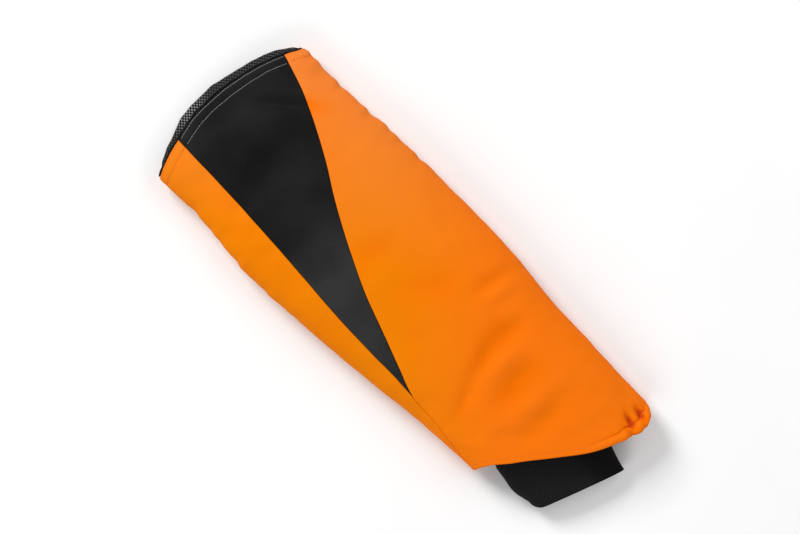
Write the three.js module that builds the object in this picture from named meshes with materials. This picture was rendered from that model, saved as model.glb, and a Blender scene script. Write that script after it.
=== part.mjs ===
// A padded arm protector for saw work: a hollow forearm sleeve that lies on a flat surface.
// Three sewn panels make its outer wall, and a mesh lining the inner one. A knitted cuff sits in the wrist.
// Millimetres, +Z up. The sleeve lies along X, from the elbow mouth at -X to the wrist at +X.
// Its left fold is at -Y, and the origin is the middle of its box, on the surface that it lies on.
import * as THREE from "three";

// Driving dimensions
const wall = { panel: 3, lining: 1, liningGap: 0.6, seamGap: 0.3 };
const liningProud = 0.5; // how far the lining shows past the elbow rim
const elbowHem = { width: 11.5, rise: 0.5, end: 13 };
const wristHem = { width: 7, rise: 1.1, end: 8.5 };
const shoulder = { up: 0.74, across: 0.6 }; // how boxy the top of a section is; 0.55 is a plain ellipse
const underReach = 24; // how far a fold's lower curve reaches in before the underside lies flat
const cuff = {
  wall: 2.2,
  gap: 0.8, // to the lining that it is sewn to
  start: new THREE.Vector2(104, 0),
  end: new THREE.Vector2(226, -16.7),
  width: 79, // at the end
  wider: 0.1, // how much wider the tube is before its end draws in
  drawIn: 0.75, // share of the length where the drawing in starts
  height: 21,
  fold: 10,
  reach: 11,
  base: 5.2, // underside of the tube inside the sleeve
  droop: 4.9, // how far its free end sinks towards the surface
  droopStart: 2, // past the underside's rim
  droopEnd: 30,
  endSkew: 0.23, // slant of the end, along the cuff for each millimetre across it
  flareShare: 0.86, // share of the length over which the knit narrows from the lining to the tube
};

// The lying sleeve's cross-sections: its left and right folds, its top, and the height of the folds
const sections = [
  { x: -240, left: -79, right: 80, crown: 33, fold: 13 },
  { x: -170, left: -80.5, right: 83.5, crown: 40, fold: 15 },
  { x: -108, left: -87, right: 86, crown: 45, fold: 16 },
  { x: -27, left: -83.5, right: 87.5, crown: 47, fold: 16 },
  { x: 42, left: -77.5, right: 85.5, crown: 46, fold: 16 },
  { x: 95, left: -71.8, right: 78.5, crown: 44, fold: 15.5 },
  { x: 140, left: -69.7, right: 76.3, crown: 42, fold: 15 },
  { x: 226, left: -68, right: 75, crown: 37, fold: 14 },
];

// The elbow rim bulges past the line between its two corners, and the underside bulges further than the top
const elbowRim = { leftCorner: -215, rightCorner: -208, topBulge: 18, underBulge: 27.5, lean: 0.14 };

// The slanted wrist rim, from the left fold (-1) to the right fold (1)
const wristRim = [
  { across: -1, x: 150 },
  { across: -0.6, x: 168 },
  { across: -0.25, x: 189 },
  { across: 0.1, x: 208.5 },
  { across: 0.45, x: 220.5 },
  { across: 0.8, x: 225.5 },
  { across: 1, x: 218 },
];
const wristSectionX = 185; // the cross-section that the wrist rim is measured on
const wristUnderSetback = 5; // the underside stops this much short of the top

// Seams on the top face, seen from above
const tip = { x: 68.6, y: -61.6 };
const fastSeam = [
  { x: -240, y: 77 },
  { x: -214, y: 68.3 },
  { x: -178, y: 55.3 },
  { x: -139.6, y: 36.5 },
  { x: -100.5, y: 13 },
  { x: -56.8, y: -9.6 },
  { x: 5.3, y: -36.8 },
  tip,
];
const slowSeam = [{ x: -240, y: -44.6 }, { x: -100, y: -52.5 }, { x: -30, y: -56.5 }, { x: 22, y: -60 }, tip];
const tipSeam = [tip, { x: 99, y: -64 }, { x: 126, y: -67.2 }, { x: 152, y: -68.6 }];
const wedgeStop = 4; // the wedge ends this far before the point where its seams meet

// Soft folds and dents of the top face: centre, half length, half width, turn from X in degrees, height
const folds = [
  { x: -196, y: 27, length: 30, width: 9, turn: 50, rise: -2 },
  { x: -168, y: 5, length: 30, width: 20, turn: 30, rise: -1.5 },
  { x: 22, y: 31, length: 26, width: 14, turn: 80, rise: -1.2 },
  { x: 54, y: 45, length: 24, width: 11, turn: 85, rise: 1.6 },
  { x: 79, y: 24, length: 26, width: 10, turn: 84, rise: -3 },
  { x: 96, y: 18, length: 26, width: 9, turn: 84, rise: 2 },
  { x: 114, y: 9, length: 22, width: 11, turn: 80, rise: -2.6 },
  { x: 138, y: 5, length: 26, width: 11, turn: 75, rise: 1.4 },
  { x: 160, y: -2, length: 24, width: 11, turn: 65, rise: -1.8 },
];

// Facets along and round the sleeve
const steps = { elbowToTip: 19, tipToWrist: 8, front: 10, wedge: 5, leftTop: 3, corner: 3, flat: 5 };
const cuffSteps = { along: 12, crown: 6, corner: 3, flat: 3 };

const { lerp: mix, smoothstep, degToRad } = THREE.MathUtils;

// A smooth curve that reads one column of a table against another
function curve(table, against, column) {
  const smooth = new THREE.CubicInterpolant(
    table.map((row) => row[against]),
    table.map((row) => row[column]),
    1,
  );
  return (at) => smooth.evaluate(at)[0];
}

const sectionCurves = Object.fromEntries(
  ["left", "right", "crown", "fold"].map((column) => [column, curve(sections, "x", column)]),
);
const wristRimCurve = curve(wristRim, "across", "x");
const fastSeamCurve = curve([...fastSeam, ...tipSeam.slice(1)], "x", "y");
const slowSeamCurve = curve([...slowSeam, ...tipSeam.slice(1)], "x", "y");

// A lying tube's outline in Y and Z: from the right fold over the top and the left fold, and back underneath
function outline({ left, right, crown, fold, reach }) {
  const round = 0.5523; // a Bezier handle that makes a quarter ellipse
  const middle = (left + right) / 2;
  const handle = ((right - left) / 2) * shoulder.across;
  const shoulderHeight = mix(fold, crown, shoulder.up);
  const lowHandle = fold * (1 - round);
  const inHandle = reach * (1 - round);
  const path = new THREE.Path();
  path.moveTo(right, fold);
  path.bezierCurveTo(right, shoulderHeight, middle + handle, crown, middle, crown);
  path.bezierCurveTo(middle - handle, crown, left, shoulderHeight, left, fold);
  path.bezierCurveTo(left, lowHandle, left + inHandle, 0, left + reach, 0);
  path.lineTo(right - reach, 0);
  path.bezierCurveTo(right - inHandle, 0, right, lowHandle, right, fold);
  const lengths = path.getCurveLengths();
  const girth = lengths[lengths.length - 1];
  const [top, leftFold, flatStart, flatEnd] = lengths.map((length) => length / girth);
  return { path, girth, left, right, top, leftFold, flatStart, flatEnd };
}

const knownSections = new Map();
function sectionAt(x) {
  if (!knownSections.has(x)) {
    const sizes = Object.fromEntries(Object.entries(sectionCurves).map(([name, read]) => [name, read(x)]));
    knownSections.set(x, outline({ ...sizes, reach: underReach }));
  }
  return knownSections.get(x);
}

// The share of the girth, from the right fold over the top, where a section's top has this Y
function girthOnTop(x, y) {
  const { path, leftFold } = sectionAt(x);
  let low = 0;
  let high = leftFold;
  for (let halving = 0; halving < 30; halving++) {
    const half = (low + high) / 2;
    if (path.getPoint(half).x > y) low = half;
    else high = half;
  }
  return (low + high) / 2;
}

// How far across the sleeve a share of the girth lies, from the left fold (-1) to the right fold (1)
function acrossAt(x, g) {
  const { path, left, right } = sectionAt(x);
  const y = path.getPoint(g).x;
  return THREE.MathUtils.clamp((2 * y - left - right) / (right - left), -1, 1);
}

function elbowRimX(g) {
  const { leftCorner, rightCorner, topBulge, underBulge, lean } = elbowRim;
  const across = acrossAt(leftCorner, g);
  const bulge = g > sectionAt(leftCorner).leftFold ? underBulge : topBulge;
  return mix(leftCorner, rightCorner, (across + 1) / 2) - bulge * (1 - across ** 2) * (1 - lean * across);
}

function wristRimX(g) {
  const across = acrossAt(wristSectionX, g);
  const isUnder = g > sectionAt(wristSectionX).leftFold;
  return wristRimCurve(across) - (isUnder ? wristUnderSetback * (1 - across ** 2) : 0);
}

function foldRise(x, y) {
  return folds.reduce((sum, { x: fx, y: fy, length, width, turn, rise }) => {
    const away = new THREE.Vector2(x - fx, y - fy).rotateAround(new THREE.Vector2(), -degToRad(turn));
    return sum + rise * Math.exp(-((away.x / length) ** 2) - (away.y / width) ** 2);
  }, 0);
}

// A point of the sleeve's wall, at a depth under its outer face
function wallPoint(x, g, depth) {
  const { path } = sectionAt(x);
  const share = THREE.MathUtils.clamp(g, 0, 1);
  const at = path.getPoint(share);
  const along = path.getTangent(share);
  const outward = new THREE.Vector2(along.y, -along.x);
  const rise = foldRise(x, at.x) * Math.max(0, outward.y) ** 2;
  at.addScaledVector(outward, rise - depth);
  return new THREE.Vector3(x, at.x, Math.max(0, at.y));
}

// Columns of a grid: each is a share of the way between two lines that run along the sleeve
function columnsBetween(from, to, count) {
  return Array.from({ length: count + 1 }, (_, i) => ({ from, to, share: i / count }));
}

function linesAt(x, seamsApart) {
  const { girth, leftFold, flatStart, flatEnd } = sectionAt(x);
  const fast = girthOnTop(x, fastSeamCurve(x));
  const slow = Math.max(girthOnTop(x, slowSeamCurve(x)), fast + seamsApart / girth);
  return { closing: 0, fast, slow, leftFold: Math.max(leftFold, slow), flatStart, flatEnd, closed: 1 };
}

// A row is a distance from a rim, or a share of the way between the hems
function rowX(row, g) {
  const start = elbowRimX(g);
  const end = wristRimX(g);
  if (row.fromElbow !== undefined) return start + row.fromElbow;
  if (row.fromWrist !== undefined) return end - row.fromWrist;
  return mix(start + elbowHem.end, end - wristHem.end, row.share);
}

// Rows and columns both bend, so a crossing is found in a few passes
function crossing(row, column, trim, seamsApart) {
  let x = 0;
  let g = 0;
  for (let pass = 0; pass < 8; pass++) {
    const lines = linesAt(x, seamsApart);
    g = mix(lines[column.from], lines[column.to], column.share) + trim / sectionAt(x).girth;
    x = Number(rowX(row, g).toFixed(4));
  }
  return { x, g };
}

// A closed solid between an outer and an inner grid of points; a ring's last column joins its first
function slab(outer, inner, ring) {
  const rows = outer.length;
  const columns = outer[0].length;
  const points = [...outer.flat(), ...inner.flat()];
  const at = (layer, row, column) => (layer * rows + row) * columns + (column % columns);
  const triangles = [];
  const quad = (a, b, c, d) => triangles.push(a, c, b, a, d, c);
  const lastColumn = ring ? columns : columns - 1;
  for (let r = 0; r < rows - 1; r++) {
    for (let c = 0; c < lastColumn; c++) {
      quad(at(0, r, c), at(0, r + 1, c), at(0, r + 1, c + 1), at(0, r, c + 1));
      quad(at(1, r, c), at(1, r, c + 1), at(1, r + 1, c + 1), at(1, r + 1, c));
    }
    if (ring) continue;
    quad(at(0, r, 0), at(1, r, 0), at(1, r + 1, 0), at(0, r + 1, 0));
    quad(at(0, r, lastColumn), at(0, r + 1, lastColumn), at(1, r + 1, lastColumn), at(1, r, lastColumn));
  }
  for (let c = 0; c < lastColumn; c++) {
    quad(at(0, 0, c), at(0, 0, c + 1), at(1, 0, c + 1), at(1, 0, c));
    quad(at(0, rows - 1, c), at(1, rows - 1, c), at(1, rows - 1, c + 1), at(0, rows - 1, c + 1));
  }
  return new THREE.BufferGeometry().setFromPoints(points).setIndex(triangles);
}

function sharesBetween(from, to, count) {
  return Array.from({ length: count }, (_, i) => ({ share: mix(from, to, (i + 1) / count), rise: 0 }));
}

// The row where the wedge's seams meet
function tipShare() {
  const g = girthOnTop(tip.x, tip.y);
  const start = elbowRimX(g) + elbowHem.end;
  const length = wristRimX(g) - wristHem.end - start;
  return { meet: (tip.x - start) / length, stop: (tip.x - wedgeStop - start) / length };
}

const tipRow = tipShare();
const bodyRows = [
  { share: 0, rise: 0 },
  ...sharesBetween(0, tipRow.meet, steps.elbowToTip),
  ...sharesBetween(tipRow.meet, 1, steps.tipToWrist),
];
const elbowHemRows = [
  { fromElbow: 0, rise: elbowHem.rise },
  { fromElbow: elbowHem.width, rise: elbowHem.rise },
];
const wristHemRows = [
  { fromWrist: wristHem.width, rise: 0 },
  { fromWrist: wristHem.width / 2, rise: wristHem.rise },
  { fromWrist: 0, rise: 0 },
];

// A sewn panel between two of the sleeve's lines, trimmed at each seam
function panel(columns, rows) {
  const last = columns.length - 1;
  const trimOf = (i) => (i === 0 ? wall.seamGap / 2 : i === last ? -wall.seamGap / 2 : 0);
  const crossings = rows.map((row) => columns.map((column, i) => crossing(row, column, trimOf(i), 0)));
  const outer = crossings.map((line, r) => line.map(({ x, g }) => wallPoint(x, g, -rows[r].rise)));
  const inner = crossings.map((line) => line.map(({ x, g }) => wallPoint(x, g, wall.panel)));
  return slab(outer, inner, false);
}

const fullRows = [...elbowHemRows, ...bodyRows, ...wristHemRows];

function frontPanel() {
  return panel(columnsBetween("closing", "fast", steps.front), fullRows);
}

function wedgePanel() {
  const rows = bodyRows.slice(0, steps.elbowToTip);
  return panel(columnsBetween("fast", "slow", steps.wedge), [
    ...elbowHemRows,
    ...rows,
    { share: tipRow.stop, rise: 0 },
  ]);
}

const backColumns = [
  ...columnsBetween("slow", "leftFold", steps.leftTop).slice(0, -1),
  ...columnsBetween("leftFold", "flatStart", steps.corner).slice(0, -1),
  ...columnsBetween("flatStart", "flatEnd", steps.flat).slice(0, -1),
  ...columnsBetween("flatEnd", "closed", steps.corner),
];

function backPanel() {
  return panel(backColumns, fullRows);
}

// The lining is one tube, a little proud of the elbow rim and caught under the wrist hem
function lining() {
  const seamsApart = 2; // past the wedge's tip, so that no two columns meet
  const depth = wall.panel + wall.liningGap;
  const columns = [
    ...columnsBetween("closing", "fast", steps.front).slice(0, -1),
    ...columnsBetween("fast", "slow", steps.wedge).slice(0, -1),
    ...backColumns.slice(0, -1),
  ];
  const rows = [{ fromElbow: -liningProud }, ...bodyRows, { fromWrist: wristHem.width }];
  const crossings = rows.map((row) => columns.map((column) => crossing(row, column, 0, seamsApart)));
  const layer = (extra) => crossings.map((line) => line.map(({ x, g }) => wallPoint(x, g, depth + extra)));
  return slab(layer(0), layer(wall.lining), true);
}

// The share of the girth on the underside below this Y, at the wrist
function girthUnder(y) {
  const { left, right, flatStart, flatEnd } = sectionAt(wristSectionX);
  const share = (y - left - underReach) / (right - left - 2 * underReach);
  return mix(flatStart, flatEnd, THREE.MathUtils.clamp(share, 0, 1));
}

// The knitted cuff: as wide as the lining where it is sewn in, then a narrow tube with a slanted end
function cuffTube() {
  const { start, end, width, height, fold, reach, base } = cuff;
  const tube = outline({ left: -width / 2, right: width / 2, crown: height, fold, reach });
  const axis = end.clone().sub(start);
  const length = axis.length();
  axis.normalize();
  const across = new THREE.Vector2(-axis.y, axis.x);
  const seatDepth = wall.panel + wall.liningGap + wall.lining + cuff.gap;

  const shares = [
    ...columnsBetween(0, tube.top, cuffSteps.crown).slice(0, -1),
    ...columnsBetween(tube.top, tube.leftFold, cuffSteps.crown).slice(0, -1),
    ...columnsBetween(tube.leftFold, tube.flatStart, cuffSteps.corner).slice(0, -1),
    ...columnsBetween(tube.flatStart, tube.flatEnd, cuffSteps.flat).slice(0, -1),
    ...columnsBetween(tube.flatEnd, 1, cuffSteps.corner).slice(0, -1),
  ].map(({ from, to, share }) => mix(from, to, share));

  const pointAt = (t, g, depth) => {
    const flat = tube.path.getPoint(g);
    const tangent = tube.path.getTangent(g);
    flat.addScaledVector(new THREE.Vector2(tangent.y, -tangent.x), -depth);
    flat.x *= 1 + cuff.wider * (1 - smoothstep(t, cuff.drawIn, 1));
    const slide = t * length + t * cuff.endSkew * flat.x;
    const plan = start.clone().addScaledVector(axis, slide).addScaledVector(across, flat.x);
    const narrow = new THREE.Vector3(plan.x, plan.y, flat.y + base);
    const seat = wallPoint(start.x + t * length * (1 - cuff.flareShare), g, seatDepth + depth);
    const point = seat.lerp(narrow, smoothstep(t, 0, cuff.flareShare));
    const past = point.x - wristRimX(girthUnder(point.y));
    point.z -= cuff.droop * smoothstep(past, cuff.droopStart, cuff.droopEnd);
    return point;
  };
  const ring = (i, depth) => shares.map((g) => pointAt(i / cuffSteps.along, g, depth));
  const rings = (depth) => Array.from({ length: cuffSteps.along + 1 }, (_, i) => ring(i, depth));
  return slab(rings(0), rings(cuff.wall), true);
}

const cloth = (color, roughness) => new THREE.MeshStandardMaterial({ color, roughness, metalness: 0 });
const colours = { orange: 0xf27a0c, black: 0x272727, mesh: 0x4a4a4a, knit: 0x1c1c1c };
const pieces = [
  ["front_panel", frontPanel(), cloth(colours.orange, 0.85)],
  ["wedge_panel", wedgePanel(), cloth(colours.black, 0.8)],
  ["back_panel", backPanel(), cloth(colours.orange, 0.85)],
  ["lining", lining(), cloth(colours.mesh, 0.9)],
  ["cuff", cuffTube(), cloth(colours.knit, 0.95)],
];

const armProtector = new THREE.Group();
for (const [name, geometry, material] of pieces) {
  const mesh = new THREE.Mesh(geometry, material);
  mesh.name = name;
  armProtector.add(mesh);
}

export default armProtector;
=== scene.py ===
import math

import bpy
import numpy as np
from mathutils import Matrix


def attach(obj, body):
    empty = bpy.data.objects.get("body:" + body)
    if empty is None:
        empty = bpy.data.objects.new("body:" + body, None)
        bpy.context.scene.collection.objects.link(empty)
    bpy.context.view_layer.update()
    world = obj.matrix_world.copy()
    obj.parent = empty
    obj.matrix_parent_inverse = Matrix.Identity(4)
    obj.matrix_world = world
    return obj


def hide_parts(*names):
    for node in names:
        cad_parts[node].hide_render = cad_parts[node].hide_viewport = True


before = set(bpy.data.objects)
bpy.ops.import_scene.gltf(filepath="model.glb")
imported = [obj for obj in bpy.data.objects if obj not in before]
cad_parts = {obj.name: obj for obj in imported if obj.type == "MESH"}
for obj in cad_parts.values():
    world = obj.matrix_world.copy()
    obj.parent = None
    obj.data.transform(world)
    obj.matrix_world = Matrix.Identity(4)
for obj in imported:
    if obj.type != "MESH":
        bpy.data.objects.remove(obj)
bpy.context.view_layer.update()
bpy.ops.object.select_all(action="DESELECT")
mm = 0.001
print("frame loaded, nodes", len(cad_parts))

# The sleeve's form in millimetres, close to that of the solids
sleeve = {
    "sections": [  # x, left fold, right fold, top, height of the folds
        (-240, -81.6, 82, 33, 13),
        (-196, -81, 84, 37.5, 14.3),
        (-170, -80.3, 83.5, 40, 15),
        (-108, -86.4, 86.4, 45, 16),
        (-27, -83.5, 87.5, 47, 16),
        (42, -77.5, 85.5, 46, 16),
        (95, -71.8, 80, 44, 15.5),
        (140, -69.7, 78, 42, 15),
        (185, -68.8, 75.8, 39.4, 14.5),
        (226, -68, 75, 37, 14),
    ],
    "shoulderUp": 0.74,  # handles of the top's curves, up and across
    "shoulderAcross": 0.6,
    "quarterTurn": 0.5523,  # handle of a curve like a quarter of a circle
    "curvePoints": 160,
    "underReach": 24,  # from a fold to the flat underside
    # rims: place across, from the left fold to the right one, and x
    "elbowTop": [(-1, -215.3), (-0.9, -217.9), (-0.75, -221.9), (-0.6, -224.7), (-0.3, -229.6), (0, -229.5),
                 (0.3, -226.1), (0.6, -219.8), (0.85, -211.4), (1, -206.3)],
    "elbowUnder": [(-1, -215.3), (-0.85, -223.6), (-0.65, -230.1), (-0.4, -237.2), (-0.15, -239),
                   (0.1, -237.8), (0.33, -233.4), (0.5, -230), (0.68, -225.4), (0.85, -217.9),
                   (0.95, -211.5), (1, -206.3)],
    "wristRim": [(-1, 150), (-0.6, 168), (-0.25, 187.6), (0.1, 206.6), (0.45, 219), (0.66, 224.6),
                 (0.8, 226.2), (0.94, 222), (0.975, 218.4), (0.992, 215.5), (1, 213)],
    "elbowSection": -215,  # x where each rim's places across are measured
    "wristSection": 185,
    # the wedge's seams: x and y
    "fastSeam": [(-240, 77.2), (-214, 68.5), (-180, 57.1), (-150, 42.9), (-120, 26.3), (-98, 12.3),
                 (-75, -0.8), (-50, -13.8), (-20, -28.0), (8, -38.6), (40, -50.9)],
    "slowSeam": [(-240, -46), (-205, -46.8), (-160, -48.5), (-110, -51.1), (-65, -54.4), (-20, -58),
                 (20, -59.4), (46, -59.9)],
    "tip": (68.6, -61.6),
    "tipGap": 1.2,  # from the wedge's last row to its tip
    "tipSeam": [(99, -64), (126, -67.2), (152, -68.6)],  # where the orange panels meet past the tip
    "topFacing": (0.05, 0.75),  # upward part of the normal where folds begin, where they are full
    "xRange": (-246, 246),
    "xCount": 394,
    "girthCount": 481,
}

# The wrist hem's edge, by places across
wristEdge = {
    "setback": 5,  # of the underside
    "setbackRight": 5,  # more of it by the right fold
    "setbackRise": (0.3, 0.8),
    "setbackFall": (0.92, 1),
    "lumps": 0.5,  # by the right fold
    "lumpsRise": (0.3, 0.55),
    "lumpsFall": (0.94, 0.99),
    "lumpsSeed": 13,
    "notch": (0.61, 0.025, 1.3),  # where the hem's ends meet: place, half width, depth
}

# Folds and dents of the top: x, y, half length, half width, turn from X in degrees, rise
folds = [
    (-187, 34, 25, 5.5, 40, -3.6),
    (-172, 40, 16, 9, 42, -1.0),
    (-190, -6, 28, 15, 58, 1.5),
    (-147, -8, 28, 22, 60, -2.6),
    (-42, 2, 18, 10, 70, -1.1),
    (15, 18, 20, 11, 52, -1.2),
    (47, 57, 15, 6, 77, -1.2),
    (58, 54, 15, 6, 77, 1.0),
    (86.5, 32, 15, 9.5, 74, -2.0),
    (88, 5, 15, 9, 110, -1.9),
    (100, -30, 16, 6, 113, -1.2),
    (101.5, 12, 24, 8, 88, 1.4),
    (121, 17, 16, 11, 92, -1.8),
    (123, -2, 15, 11, 80, -1.4),
    (143, 6, 24, 9, 82, 0.9),
    (161, 9, 22, 11, 84, -1.3),
    (213, 58, 7, 9, -17, -1.4),  # the wrist corner, drawn in by its puckers
    (213.5, 53, 6.5, 1.9, -20, -4.2),
    (214, 58.5, 6, 2.2, -17, 1.2),
    (215, 64, 6, 1.9, -14, -4.4),
    (220, 47.3, 6, 1.9, 0, -2.2),  # where the hem's ends meet
]

ripples = {
    "waves": [(9.1, 0.55), (5.7, 0.35), (14.3, 0.5), (23.0, 0.4)],  # length and height of each
    "shift": 1.7,
}
tables = {}  # filled by makeSleeve
settled = {}  # filled by the cloth simulation


def smoothThrough(rows):
    # a smooth curve through rows of x and y, level at both ends
    xs, ys = np.array(rows, float).T
    slopes = np.diff(ys) / np.diff(xs)
    tangents = np.concatenate([[0], (slopes[:-1] + slopes[1:]) / 2, [0]])

    def read(at):
        at = np.clip(at, xs[0], xs[-1])
        i = np.clip(np.searchsorted(xs, at) - 1, 0, len(xs) - 2)
        width = xs[i + 1] - xs[i]
        t = (at - xs[i]) / width
        start = (2 * t**3 - 3 * t**2 + 1) * ys[i] + (t**3 - 2 * t**2 + t) * width * tangents[i]
        return start + (3 * t**2 - 2 * t**3) * ys[i + 1] + (t**3 - t**2) * width * tangents[i + 1]

    return read


def ramp(value, low, high):
    return np.clip((value - low) / (high - low), 0, 1)


def smoothStep(value, low, high):
    t = ramp(value, low, high)
    return t * t * (3 - 2 * t)


def window(value, rise, fall):
    return smoothStep(value, *rise) * (1 - smoothStep(value, *fall))


def between(pair, share):
    return pair[0] + (pair[1] - pair[0]) * share


def groove(distance, width):
    return np.exp(-((distance / width) ** 2))


def roll(distance, radius):
    # how far a rounded edge sinks, at a distance from the edge
    t = 1 - np.clip(distance / radius, 0, 1)
    return radius * (1 - np.sqrt(np.maximum(0, 1 - t**2)))


def ripple(along, seed):
    # an uneven wave along a hem or a seam
    total = 0
    for k, (length, height) in enumerate(ripples["waves"]):
        total = total + height * np.sin(2 * math.pi * along / length + seed * (k + ripples["shift"]))
    return total


def outlines(left, right, crown, fold, reach):
    # outlines of a lying tube, one for each value given: right fold, over the top, left fold, underside
    middle = (left + right) / 2
    handle = (right - left) / 2 * sleeve["shoulderAcross"]
    shoulder = fold + (crown - fold) * sleeve["shoulderUp"]
    floor = np.zeros_like(left)
    low = fold * (1 - sleeve["quarterTurn"])
    inward = reach * (1 - sleeve["quarterTurn"])
    flat = right - left - 2 * reach
    corners = [
        [(right, fold), (right, shoulder), (middle + handle, crown), (middle, crown)],
        [(middle, crown), (middle - handle, crown), (left, shoulder), (left, fold)],
        [(left, fold), (left, low), (left + inward, floor), (left + reach, floor)],
        [(left + reach + flat * k / 3, floor) for k in range(4)],
        [(right - reach, floor), (right - inward, floor), (right, low), (right, fold)],
    ]
    curvesBefore = {"leftFold": 2, "flatStart": 3, "flatEnd": 4}
    t = np.linspace(0, 1, sleeve["curvePoints"])[:, None, None]
    weights = [(1 - t) ** 3, 3 * (1 - t) ** 2 * t, 3 * (1 - t) * t**2, t**3]
    runs = [sum(w * np.stack(p, -1) for w, p in zip(weights, run)) for run in corners]
    path = np.concatenate([runs[0]] + [run[1:] for run in runs[1:]])
    steps = np.linalg.norm(np.diff(path, axis=0), axis=-1)
    lengths = np.concatenate([floor[None], np.cumsum(steps, axis=0)])
    shares = lengths / lengths[-1]
    marks = {name: shares[k * (sleeve["curvePoints"] - 1)] for name, k in curvesBefore.items()}
    return path, shares, lengths[-1], marks


def sectionAt(column, x):
    return smoothThrough([(row[0], row[column]) for row in sleeve["sections"]])(x)


def makeSleeve():
    # tables of points and outward normals over x and the share of the girth
    x = np.linspace(*sleeve["xRange"], sleeve["xCount"])
    g = np.linspace(0, 1, sleeve["girthCount"])
    left, right, crown, fold = (sectionAt(column, x) for column in (1, 2, 3, 4))
    path, shares, girth, lines = outlines(left, right, crown, fold, np.full_like(x, sleeve["underReach"]))
    points = np.empty((len(x), len(g), 3))
    for i in range(len(x)):
        points[i, :, 0] = x[i]
        points[i, :, 1] = np.interp(g, shares[:, i], path[:, i, 0])
        points[i, :, 2] = np.interp(g, shares[:, i], path[:, i, 1])
    normals = np.cross(np.gradient(points, axis=1), np.gradient(points, axis=0))
    normals[:, 0] = normals[:, -1] = normals[:, 1] + normals[:, -2]
    normals /= np.linalg.norm(normals, axis=-1, keepdims=True)
    for name in ("fastSeam", "slowSeam"):
        seam = smoothThrough(sleeve[name] + [sleeve["tip"]] + sleeve["tipSeam"])(x)
        found = []
        for i in range(len(x)):
            top = g <= lines["leftFold"][i]
            found.append(np.interp(seam[i], points[i, top, 1][::-1], g[top][::-1]))
        lines[name] = np.array(found)
    lines["slowSeam"] = np.maximum(lines["slowSeam"], lines["fastSeam"])
    lines["closing"] = np.zeros_like(x)
    lines["closed"] = np.ones_like(x)

    def acrossAt(atX):
        i = int(np.argmin(abs(x - atX)))
        across = (2 * points[i, :, 1] - left[i] - right[i]) / (right[i] - left[i])
        return np.clip(across, -1, 1), g > lines["leftFold"][i]

    across, under = acrossAt(sleeve["elbowSection"])
    topRim, underRim = (smoothThrough(sleeve[name])(across) for name in ("elbowTop", "elbowUnder"))
    elbow = np.where(under, underRim, topRim)
    across, under = acrossAt(sleeve["wristSection"])
    nearRight = ramp(across, *wristEdge["setbackRise"]) * (1 - ramp(across, *wristEdge["setbackFall"]))
    setback = wristEdge["setback"] * (1 - across**2) + wristEdge["setbackRight"] * nearRight
    wrist = smoothThrough(sleeve["wristRim"])(across) - np.where(under, setback, 0)
    lumpy = window(across, wristEdge["lumpsRise"], wristEdge["lumpsFall"])
    wrist += wristEdge["lumps"] * lumpy * ripple(g * girth.mean(), wristEdge["lumpsSeed"])
    place, width, deep = wristEdge["notch"]
    wrist -= deep * groove(across - place, width)
    tables.update(x=x, g=g, points=points, normals=normals, girth=girth)
    tables.update(lines=lines, elbow=elbow, wrist=wrist)
    print("sleeve form worked out, girth", round(float(girth.mean())), "mm")


def readTable(table, i, j):
    # a table read between its rows and columns
    margin = 1.001  # keeps the next row and column inside the table
    i = np.clip(i, 0, table.shape[0] - margin)
    j = np.clip(j, 0, table.shape[1] - margin)
    row, column = i.astype(int), j.astype(int)
    a, b = (i - row)[..., None], (j - column)[..., None]
    near = table[row, column] * (1 - b) + table[row, column + 1] * b
    far = table[row + 1, column] * (1 - b) + table[row + 1, column + 1] * b
    return near * (1 - a) + far * a


def tablePlace(x, g):
    xs = tables["x"]
    return (x - xs[0]) / (xs[1] - xs[0]), g * (len(tables["g"]) - 1)


def lineAt(name, x):
    return np.interp(x, tables["x"], tables["lines"][name])


def rimAt(name, g):
    return np.interp(g, tables["g"], tables[name])


def girthAt(x):
    return np.interp(x, tables["x"], tables["girth"])


def foldRise(x, y, wider=1):
    rise = np.zeros_like(x)
    for foldX, foldY, length, width, turn, height in folds:
        c, s = math.cos(math.radians(turn)), math.sin(math.radians(turn))
        along = ((x - foldX) * c + (y - foldY) * s) / (length * wider)
        over = ((y - foldY) * c - (x - foldX) * s) / (width * wider)
        rise += height * np.exp(-(along**2) - over**2)
    return rise


# Uneven right and left folds near the elbow
edgeWave = {
    "rise": (-214, -194),  # x where the waves grow, and where they fade
    "fall": (-100, -20),
    "heights": (0.7, 0.45),
    "seeds": (2, 5),
    "stretch": 0.5,
    "reach": 15,
}


def onSleeve(x, g, depth):
    # points under the sleeve's outer face by depth, with its folds
    point, normal = (readTable(tables[name], *tablePlace(x, g)) for name in ("points", "normals"))
    normal /= np.linalg.norm(normal, axis=-1, keepdims=True)
    rise = foldRise(x, point[..., 1]) * smoothStep(normal[..., 2], *sleeve["topFacing"])
    along = window(x, edgeWave["rise"], edgeWave["fall"])
    fromFolds = (np.minimum(g, 1 - g), np.abs(g - lineAt("leftFold", x)))
    for share, height, seed in zip(fromFolds, edgeWave["heights"], edgeWave["seeds"]):
        near = groove(share * girthAt(x), edgeWave["reach"])
        rise += height * ripple(x * edgeWave["stretch"], seed) * along * near
    if settled:
        share = (x - rimAt("elbow", g)) / (rimAt("wrist", g) - rimAt("elbow", g))
        rows, columns = settled["rise"].shape[:2]
        rise += readTable(settled["rise"], share * (rows - 1), g * (columns - 1))[..., 0]
    point = point + normal * (rise - depth)[..., None]
    point[..., 2] = np.maximum(point[..., 2], 0)
    return point


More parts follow.
